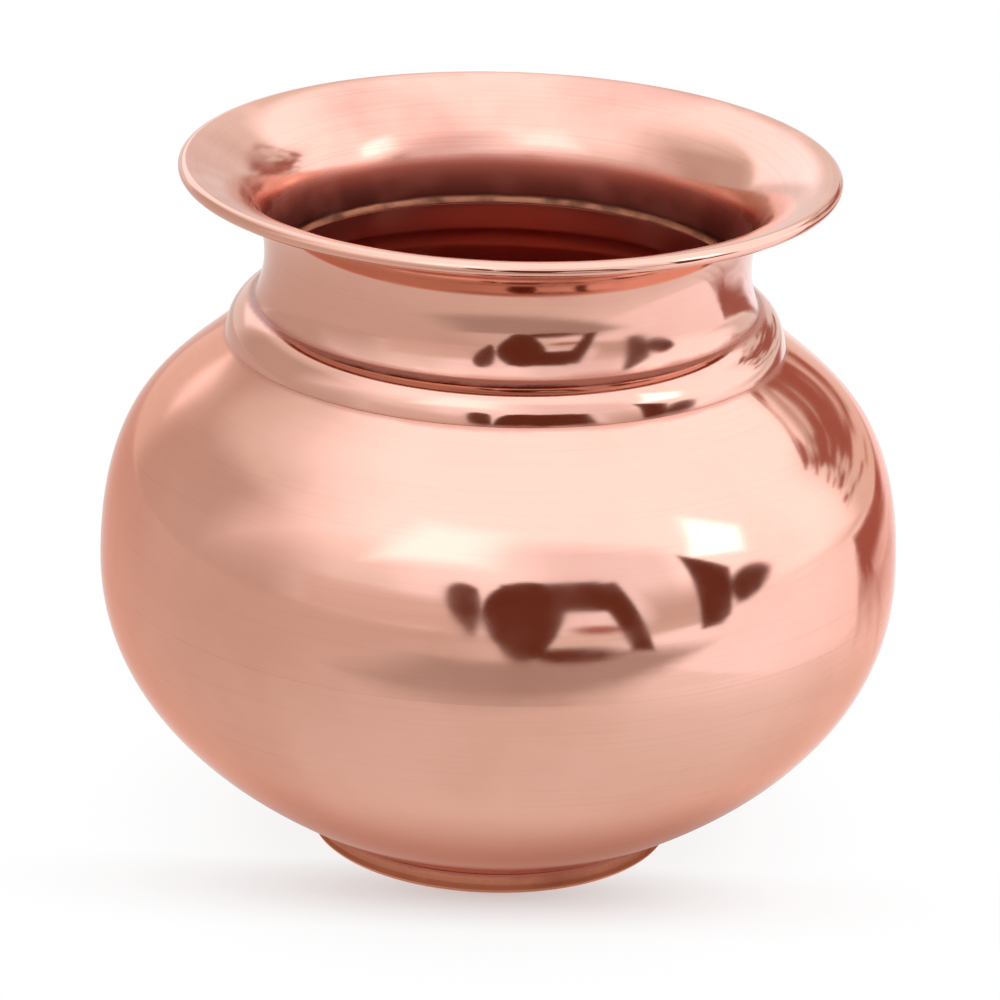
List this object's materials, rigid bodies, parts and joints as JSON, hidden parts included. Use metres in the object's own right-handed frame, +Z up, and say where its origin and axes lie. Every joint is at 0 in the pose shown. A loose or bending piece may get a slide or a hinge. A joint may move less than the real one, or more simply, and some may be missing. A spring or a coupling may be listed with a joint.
{
  "type": "lota",
  "caption": "Round-bellied copper water pot on a low foot ring, with a creased narrow neck and a wide flared lip rolled over a wire.",
  "frame": {"origin": "centre of the foot ring's underside, on the surface that the pot stands on", "axes": "+Z up along the axis that every piece is turned about, -Y towards the picture's viewer"},
  "size_m": [0.12, 0.12, 0.1058],
  "materials": {
    "polished_copper": "spun copper sheet, polished",
    "tarnished_copper": "copper, darkened and rubbed",
    "copper_wire": "drawn copper wire",
    "brass_filler": "brazing filler as it set"
  },
  "bodies": {
    "root": {"foot_ring": "tarnished_copper", "foot_braze": "brass_filler", "lower_bowl": "polished_copper", "belly_braze": "brass_filler", "shoulder_shell": "polished_copper", "neck_braze": "brass_filler", "neck": "polished_copper", "rim_wire": "copper_wire"}
  },
  "joints": []
}
